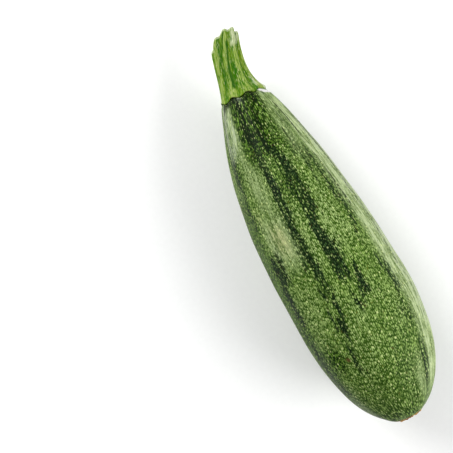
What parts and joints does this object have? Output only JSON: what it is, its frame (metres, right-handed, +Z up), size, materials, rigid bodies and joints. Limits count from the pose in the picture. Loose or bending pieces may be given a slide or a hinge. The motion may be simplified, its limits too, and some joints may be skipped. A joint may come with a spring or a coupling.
{
  "type": "zucchini",
  "caption": "Striped green zucchini as picked: club-shaped fruit with soft ribs, fluted cut stem and corky blossom scar, lying on its side.",
  "frame": {"origin": "on the surface that it lies on, under the middle of its box", "axes": "+X along the fruit towards its stem end, +Z up, +Y across"},
  "size_m": [0.212, 0.0618, 0.0623],
  "materials": {
    "skin": "satin",
    "stem": "satin",
    "scar": "matte"
  },
  "bodies": {
    "root": {"fruit": "skin", "stem": "stem", "blossom_scar": "scar"}
  },
  "joints": []
}
